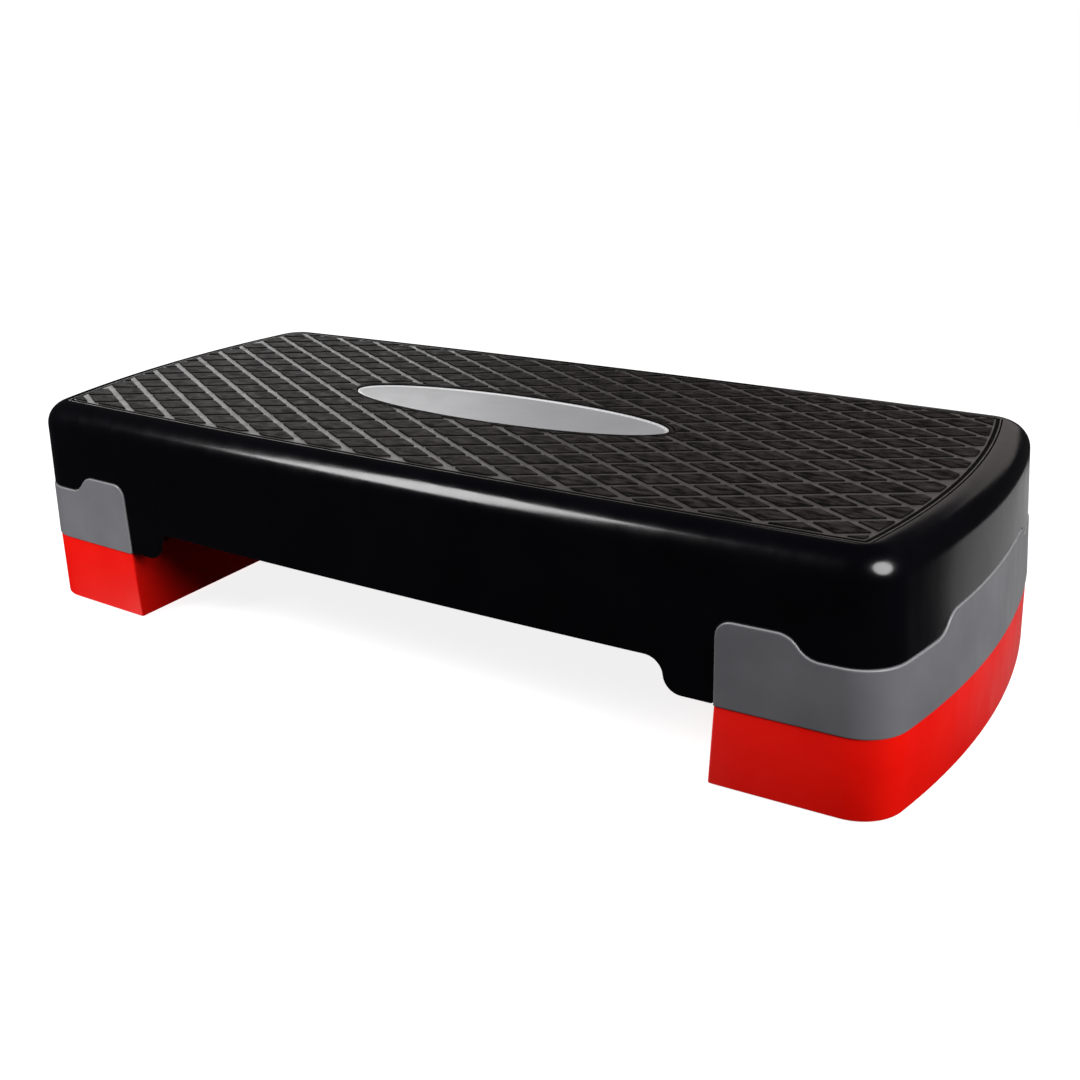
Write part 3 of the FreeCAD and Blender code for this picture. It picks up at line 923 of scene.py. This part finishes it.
def rubber_foot(node, body, material):
    """Round foot with a rounded rim, a dished sole and its stem."""
    low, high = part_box(node)
    radius = (high.x - low.x) / 2
    dish = low.z + foot_dish
    flange = low.z + foot_thickness
    profile = [(0, dish), (radius * foot_dish_inner, dish), (radius * foot_dish_outer, low.z)]
    for angle in arc_steps(foot_sole_steps):
        turn_in = foot_sole_edge * (1 - math.sin(angle))
        profile.append((radius - turn_in, low.z + foot_sole_edge * (1 - math.cos(angle))))
    for angle in arc_steps(foot_rim_steps):
        turn_in = foot_rim_edge * (1 - math.cos(angle))
        profile.append((radius - turn_in, flange - foot_rim_edge * (1 - math.sin(angle))))
    profile += [(foot_stem_radius, flange), (foot_stem_radius, high.z - foot_stem_chamfer)]
    profile += [(foot_stem_radius - foot_stem_chamfer, high.z), (0, high.z)]
    foot = lathe(profile, node_centre(node))
    piece(f"{node}_rubber", foot, body, node, [material])


def shader(name):
    """New material, with its node tree and its principled shader."""
    material = bpy.data.materials.new(name)
    material.use_nodes = True
    return material, material.node_tree, material.node_tree.nodes["Principled BSDF"]


def link(tree, source, target):
    tree.links.new(source, target)


def noise(tree, scale, detail=3.0, roughness=0.55, stretch=(1, 1, 1)):
    """Noise in the object's own metres, with its features about one over scale long."""
    place = tree.nodes.new("ShaderNodeTexCoord")
    mapping = tree.nodes.new("ShaderNodeMapping")
    mapping.inputs["Scale"].default_value = [scale * value for value in stretch]
    texture = tree.nodes.new("ShaderNodeTexNoise")
    texture.inputs["Scale"].default_value = 1.0
    texture.inputs["Detail"].default_value = detail
    texture.inputs["Roughness"].default_value = roughness
    link(tree, place.outputs["Object"], mapping.inputs["Vector"])
    link(tree, mapping.outputs["Vector"], texture.inputs["Vector"])
    return texture.outputs["Fac"]


def ramp(tree, factor, stops):
    """Colour ramp between two (place, colour) stops."""
    node = tree.nodes.new("ShaderNodeValToRGB")
    for element, (place, colour) in zip(node.color_ramp.elements, stops):
        element.position = place
        element.color = (*colour, 1)
    link(tree, factor, node.inputs["Fac"])
    return node.outputs["Color"]


def spread(tree, factor, low, high):
    """Turns the middle of a noise into a range of values."""
    node = tree.nodes.new("ShaderNodeMapRange")
    node.inputs["From Min"].default_value = 0.3
    node.inputs["From Max"].default_value = 0.7
    node.inputs["To Min"].default_value = low
    node.inputs["To Max"].default_value = high
    link(tree, factor, node.inputs["Value"])
    return node.outputs["Result"]


def bump(tree, bsdf, layers):
    """Stacked bumps from (height, distance in metres, strength)."""
    normal = None
    for height, distance, strength in layers:
        node = tree.nodes.new("ShaderNodeBump")
        node.inputs["Distance"].default_value = distance
        node.inputs["Strength"].default_value = strength
        link(tree, height, node.inputs["Height"])
        if normal:
            link(tree, normal, node.inputs["Normal"])
        normal = node.outputs["Normal"]
    link(tree, normal, bsdf.inputs["Normal"])


def moulded_plastic(name, dark, light, rough, grain, specular=0.5):
    """Moulded plastic: cloudy colour, uneven gloss and a fine grain."""
    material, tree, bsdf = shader(name)
    clouds = noise(tree, scale=22, detail=4)
    link(tree, ramp(tree, clouds, [(0.3, dark), (0.7, light)]), bsdf.inputs["Base Color"])
    smears = noise(tree, scale=60, detail=5, roughness=0.65, stretch=(1, 1, 0.35))
    link(tree, spread(tree, smears, *rough), bsdf.inputs["Roughness"])
    bsdf.inputs["Specular IOR Level"].default_value = specular
    fine = (noise(tree, scale=2600, detail=2), 0.05 * MM, grain)
    coarse = (noise(tree, scale=45, detail=2), 0.3 * MM, grain * 0.6)
    bump(tree, bsdf, [fine, coarse])
    return material


def tread_rubber(name, dark, light, rough, streaks, specular=0.4):
    """Rough rubber with streaks and specks."""
    material, tree, bsdf = shader(name)
    streaked = noise(tree, scale=260, detail=6, roughness=0.7, stretch=(0.3, 0.9, 1))
    link(tree, ramp(tree, streaked, [(0.4, dark), (0.66, light)]), bsdf.inputs["Base Color"])
    smears = noise(tree, scale=120, detail=4)
    link(tree, spread(tree, smears, *rough), bsdf.inputs["Roughness"])
    bsdf.inputs["Specular IOR Level"].default_value = specular
    coarse = (streaked, 0.25 * MM, streaks)
    fine = (noise(tree, scale=1500, detail=3), 0.08 * MM, streaks)
    bump(tree, bsdf, [coarse, fine])
    return material


def zinc_steel(name):
    """Brushed metal of the screws."""
    material, tree, bsdf = shader(name)
    brushed = noise(tree, scale=900, detail=4, roughness=0.6, stretch=(1, 1, 0.1))
    tones = [(0.3, (0.5, 0.5, 0.52)), (0.7, (0.68, 0.67, 0.65))]
    link(tree, ramp(tree, brushed, tones), bsdf.inputs["Base Color"])
    link(tree, spread(tree, brushed, 0.25, 0.45), bsdf.inputs["Roughness"])
    bsdf.inputs["Metallic"].default_value = 1.0
    return material


def plastics():
    """Plastics by name: dark and light tone, range of roughness and strength of the grain."""
    return {
        "deck": moulded_plastic(
            "deck_plastic", (0.0008, 0.0008, 0.0016), (0.0018, 0.0018, 0.0032), (0.15, 0.22), 0.08),
        "collar": moulded_plastic(
            "collar_plastic", (0.155, 0.155, 0.169), (0.195, 0.195, 0.21), (0.36, 0.46), 0.15),
        # Lighter plastic on the collar's rounded edge: a painted highlight
        "collar_edge": moulded_plastic(
            "painted_highlight_collar_plastic", (0.26, 0.26, 0.27), (0.31, 0.31, 0.32), (0.3, 0.4), 0.1),
        "riser": moulded_plastic(
            "riser_plastic", (0.90, 0.005, 0.002), (0.97, 0.008, 0.003), (0.38, 0.5), 0.15, 0.12),
        "badge": moulded_plastic(
            "badge_plastic", (0.33, 0.33, 0.34), (0.37, 0.37, 0.38), (0.38, 0.48), 0.1),
        # Lighter plastic on the badge's rim: a painted highlight
        "badge_rim": moulded_plastic(
            "painted_highlight_badge_rim_plastic", (0.62, 0.62, 0.63), (0.70, 0.70, 0.71), (0.3, 0.4), 0.1),
    }


def rubbers():
    """Rubbers by name: dark and light tone, range of roughness and strength of the streaks."""
    return {
        "pad": tread_rubber(
            "pad_rubber", (0.0012, 0.001, 0.001), (0.042, 0.036, 0.034), (0.5, 0.75), 0.9, 0.05),
        "groove": tread_rubber(
            "groove_rubber", (0.05, 0.046, 0.044), (0.085, 0.078, 0.074), (0.36, 0.5), 0.2, 0.6),
        # Near-black rubber for the walls of pads and slabs and for the channel floor: painted shade
        "side": tread_rubber(
            "side_rubber", (0.003, 0.0028, 0.0026), (0.006, 0.0055, 0.005), (0.7, 0.85), 0.2, 0.1),
        "foot": tread_rubber(
            "foot_rubber", (0.010, 0.010, 0.010), (0.022, 0.021, 0.020), (0.6, 0.8), 0.25),
    }


def dress():
    """Every piece of the object with its material."""
    plastic = plastics()
    rubber = rubbers()
    steel = zinc_steel("zinc_steel")
    deck_moulding(plastic["deck"])
    # The third material is the near-black rubber that paints shade on walls and in the channel
    tread([rubber["pad"], rubber["groove"], rubber["side"]])
    badge_plate([plastic["badge"], plastic["badge_rim"]])
    for side in ("left", "right"):
        collar_band(side, [plastic["collar"], plastic["collar_edge"]])
        riser_moulding(side, plastic["riser"])
        screws = frame["nodes"][f"{side}_collar_screws"].data
        screws.materials.clear()
        screws.materials.append(steel)
    for node, solid in frame["nodes"].items():
        if "_foot_" in node:
            rubber_foot(node, solid["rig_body"], rubber["foot"])


def softbox(name, place, target, size, radiance, tint=(1, 1, 1), lit=None, seen=True, elliptic=False):
    """Lamp of a given brightness that is mirrored or not, and that may light only some pieces."""
    data = bpy.data.lights.new(name, "AREA")
    width, height = size
    data.shape = "ELLIPSE" if elliptic else "RECTANGLE"
    data.size = width
    data.size_y = height
    area = width * height * (math.pi / 4 if elliptic else 1)
    data.energy = radiance * math.pi * area
    data.color = tint
    lamp = bpy.data.objects.new(name, data)
    bpy.context.scene.collection.objects.link(lamp)
    lamp.visible_camera = False
    lamp.visible_glossy = seen
    lamp.location = place
    lamp.rotation_euler = (Vector(target) - Vector(place)).to_track_quat("-Z", "Y").to_euler()
    if lit:
        receivers = bpy.data.collections.new(f"{name}_lit")
        for obj in lit:
            receivers.objects.link(obj)
        lamp.light_linking.receiver_collection = receivers


def studio_floor():
    """Plain pale floor that brightens away from the object; it takes shadows but throws no light back."""
    bpy.ops.mesh.primitive_plane_add(size=60)
    floor = bpy.context.object
    floor.name = "studio_floor"
    material, tree, bsdf = shader("pale_floor")
    tones = [(0.3, (0.50, 0.50, 0.50)), (0.7, (0.53, 0.53, 0.53))]
    link(tree, ramp(tree, noise(tree, scale=3, detail=2), tones), bsdf.inputs["Base Color"])
    bsdf.inputs["Roughness"].default_value = 0.9
    bsdf.inputs["Specular IOR Level"].default_value = 0.0
    place = tree.nodes.new("ShaderNodeTexCoord")
    distance = tree.nodes.new("ShaderNodeVectorMath")
    distance.operation = "LENGTH"
    glow = tree.nodes.new("ShaderNodeMapRange")
    glow.interpolation_type = "SMOOTHSTEP"
    near, far = 0.35, 1.3
    near_glow, far_glow = 0.86, 1.0
    glow.inputs["From Min"].default_value = near
    glow.inputs["From Max"].default_value = far
    glow.inputs["To Min"].default_value = near_glow
    glow.inputs["To Max"].default_value = far_glow
    link(tree, place.outputs["Object"], distance.inputs[0])
    link(tree, distance.outputs["Value"], glow.inputs["Value"])
    bsdf.inputs["Emission Color"].default_value = (1, 1, 1, 1)
    link(tree, glow.outputs["Result"], bsdf.inputs["Emission Strength"])
    floor.data.materials.append(material)
    floor.visible_glossy = False
    floor.visible_diffuse = False
    floor.visible_shadow = False


def white_backdrop():
    """White behind the object, with only a dim even light on it from all around."""
    world = bpy.data.worlds.new("studio")
    bpy.context.scene.world = world
    world.use_nodes = True
    tree = world.node_tree
    background = tree.nodes["Background"]
    background.inputs["Color"].default_value = (1, 1, 1, 1)
    rays = tree.nodes.new("ShaderNodeLightPath")
    strength = tree.nodes.new("ShaderNodeMapRange")
    strength.inputs["To Min"].default_value = 0.02
    strength.inputs["To Max"].default_value = 1.0
    link(tree, rays.outputs["Is Camera Ray"], strength.inputs["Value"])
    link(tree, strength.outputs["Result"], background.inputs["Strength"])


def studio():
    """Floor, backdrop and lamps; a lamp that would spoil a reflection lights only the pieces it is for."""
    studio_floor()
    white_backdrop()
    pieces = bpy.data.objects
    deck = [pieces["deck_moulding"]]
    top = [pieces["tread"], pieces["badge_plate"]]
    left_riser, left_collar = [pieces["left_riser_moulding"]], [pieces["left_collar_band"]]
    right_riser, right_collar = [pieces["right_riser_moulding"]], [pieces["right_collar_band"]]
    ends = left_riser + left_collar + right_riser + right_collar
    softbox("key_left", (-0.525, -0.63, 0.80), (-0.03, -0.1, 0.12), (0.43, 0.5), 12.5)
    softbox("low_left", (-0.525, -0.56, -0.43), (-0.28, -0.14, 0.07), (0.4, 0.4), 5.7,
            lit=left_riser + left_collar + right_riser)
    softbox("right", (1.28, -0.31, 0.82), (0.31, -0.1, 0.1), (0.85, 0.85), 10.0, elliptic=True)
    softbox("right_card", (0.515, 0.85, -0.3), (0.515, 0, -0.3), (0.83, 0.4), 0.42,
            lit=deck + right_riser + right_collar)
    softbox("back_left", (-1.24, 0.87, 0.51), (-0.2, 0, 0.14), (1.0, 0.6), 2.3, lit=top)
    softbox("back", (0.15, 1.3, 0.55), (0.2, 0, 0.14), (1.0, 0.5), 0.4, (1.0, 0.9, 0.88))
    softbox("top", (0.45, 0.1, 1.5), (0, 0, 0.1), (0.8, 0.8), 1.4, seen=False)
    softbox("back_fill", (-0.9, 1.3, 0.25), (0, 0.14, 0.06), (0.8, 0.5), 4.0, lit=ends, seen=False)


def photo_camera():
    """Camera fitted to the outlines of the object in the photograph, which is 1080 pixels square."""
    picture_size = 1080
    focal_pixels = 1321.1
    azimuth = math.radians(33.614)
    elevation = math.radians(21.496)
    roll = math.radians(-2.109)
    distance = 873.84 * MM
    target = Vector((50.13, -36.0, 74.23)) * MM
    level = math.cos(elevation)
    back = Vector((math.sin(azimuth) * level, -math.cos(azimuth) * level, math.sin(elevation)))
    right = (-back).cross(Vector((0, 0, 1))).normalized()
    up = right.cross(-back)
    across = right * math.cos(roll) + up * math.sin(roll)
    upward = up * math.cos(roll) - right * math.sin(roll)
    data = bpy.data.cameras.new("photo_camera")
    data.sensor_width = 36
    data.lens = data.sensor_width * focal_pixels / picture_size
    camera = bpy.data.objects.new("photo_camera", data)
    bpy.context.scene.collection.objects.link(camera)
    turn = Matrix((across, upward, back)).transposed().to_4x4()
    camera.matrix_world = Matrix.Translation(target + back * distance) @ turn
    bpy.context.scene.camera = camera


dress()
studio()
photo_camera()
bpy.context.scene.view_settings.view_transform = "Standard"
